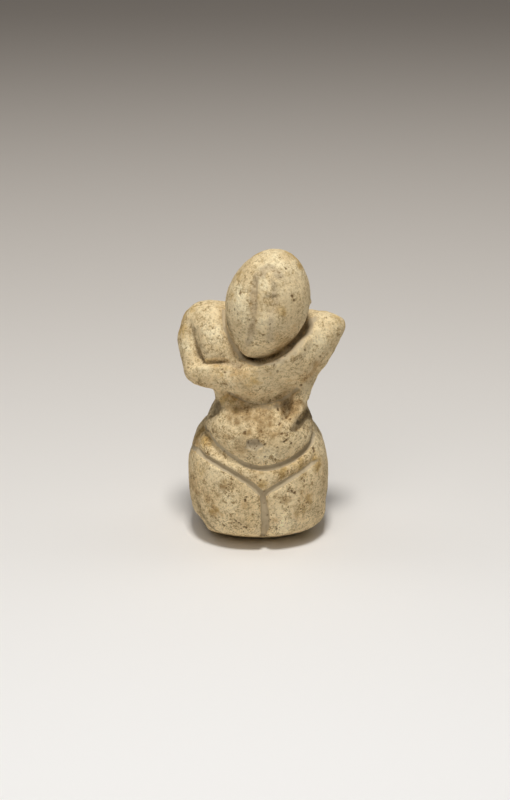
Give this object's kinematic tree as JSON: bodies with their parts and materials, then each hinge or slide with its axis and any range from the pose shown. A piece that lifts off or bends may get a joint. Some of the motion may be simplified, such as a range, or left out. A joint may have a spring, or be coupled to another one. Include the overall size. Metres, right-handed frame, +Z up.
{
  "type": "female figurine",
  "caption": "Small standing female figurine of fired clay with folded arms, an egg-shaped head and wide hips.",
  "frame": {"origin": "on the flat seat in the middle of the underside, below the middle of the figure's box", "axes": "+Z up along the figure, -Y towards the figure's front, +X to the viewer's right"},
  "size_m": [0.0388, 0.0294, 0.074],
  "materials": {
    "clay": "matte, worn, gritty, pale buff fired clay with grey grooves"
  },
  "bodies": {
    "root": {"figurine": "clay"}
  },
  "joints": []
}
